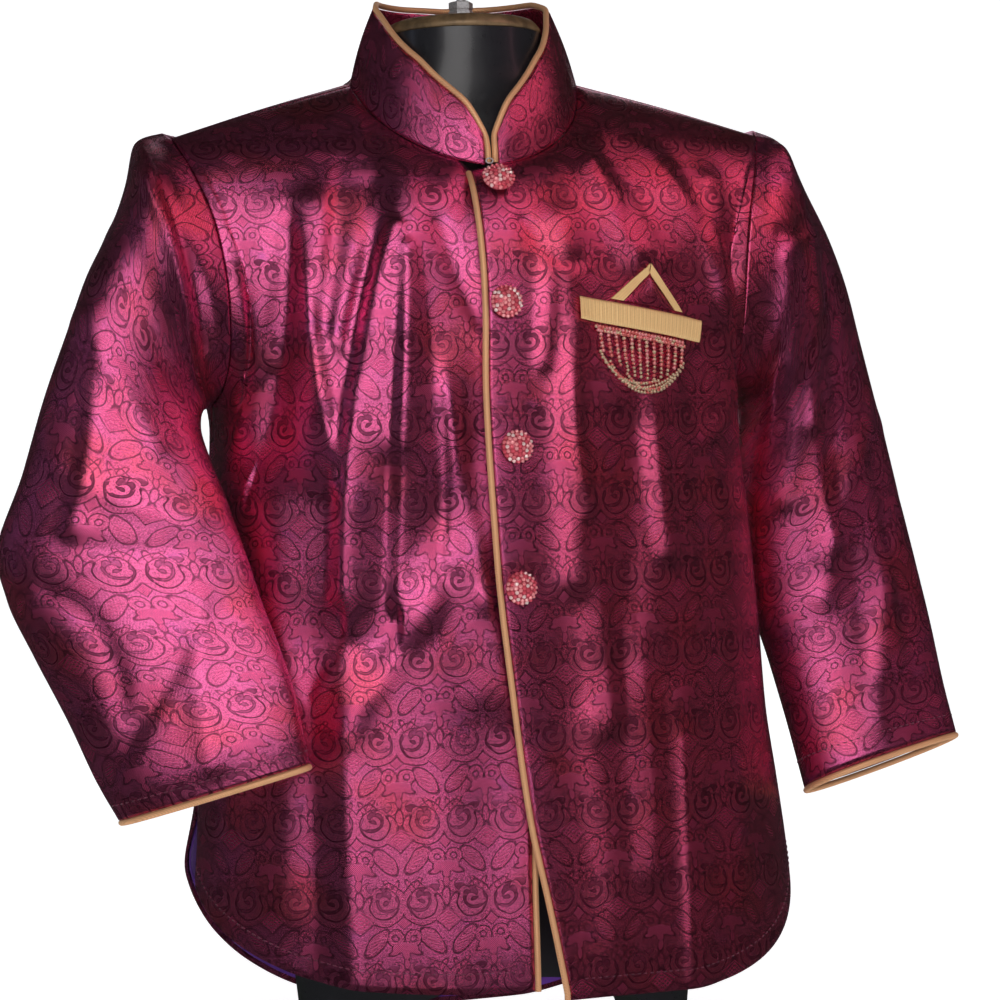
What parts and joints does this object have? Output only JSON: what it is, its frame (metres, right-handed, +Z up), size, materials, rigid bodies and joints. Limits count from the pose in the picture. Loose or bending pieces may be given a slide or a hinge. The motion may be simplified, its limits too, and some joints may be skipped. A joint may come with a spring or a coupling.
{
  "type": "sherwani coat on a dress form",
  "caption": "Short brocade sherwani coat for a boy: stand collar, piped buttoned front, long sleeves and a pocket with a beaded fringe, on a limbless torso form that stands on its base.",
  "frame": {"origin": "on the floor under the middle of the form's base", "axes": "+Z up, -Y to the coat's front, +X to the wearer's left"},
  "size_m": [0.4767, 0.182, 0.5375],
  "materials": {
    "brocade": "satin",
    "lining_satin": "satin",
    "gold_cord": "satin",
    "gold_strip": "satin",
    "pink_crystal": "polished",
    "beads": "polished",
    "black_plastic": "gloss",
    "bronze_rim": "satin",
    "steel": "polished"
  },
  "bodies": {
    "root": {"front_right": "brocade", "front_left": "brocade", "back": "brocade", "back_lining": "lining_satin", "sleeve_right": "brocade", "sleeve_left": "brocade", "collar": "brocade", "piping_collar": "gold_cord", "piping_front_left": "gold_cord", "piping_front_right": "gold_cord", "piping_cuff_left": "gold_cord", "piping_cuff_right": "gold_cord", "button_1": "pink_crystal", "button_2": "pink_crystal", "button_3": "pink_crystal", "button_4": "pink_crystal", "pocket_welt": "gold_strip", "pocket_square": "brocade", "pocket_square_border_left": "gold_strip", "pocket_square_border_right": "gold_strip", "bead_fringe": "beads", "dress_form": "black_plastic", "neck_cap": "bronze_rim", "hanging_bolt_nut": "steel", "hanging_bolt_eye": "steel"}
  },
  "joints": []
}
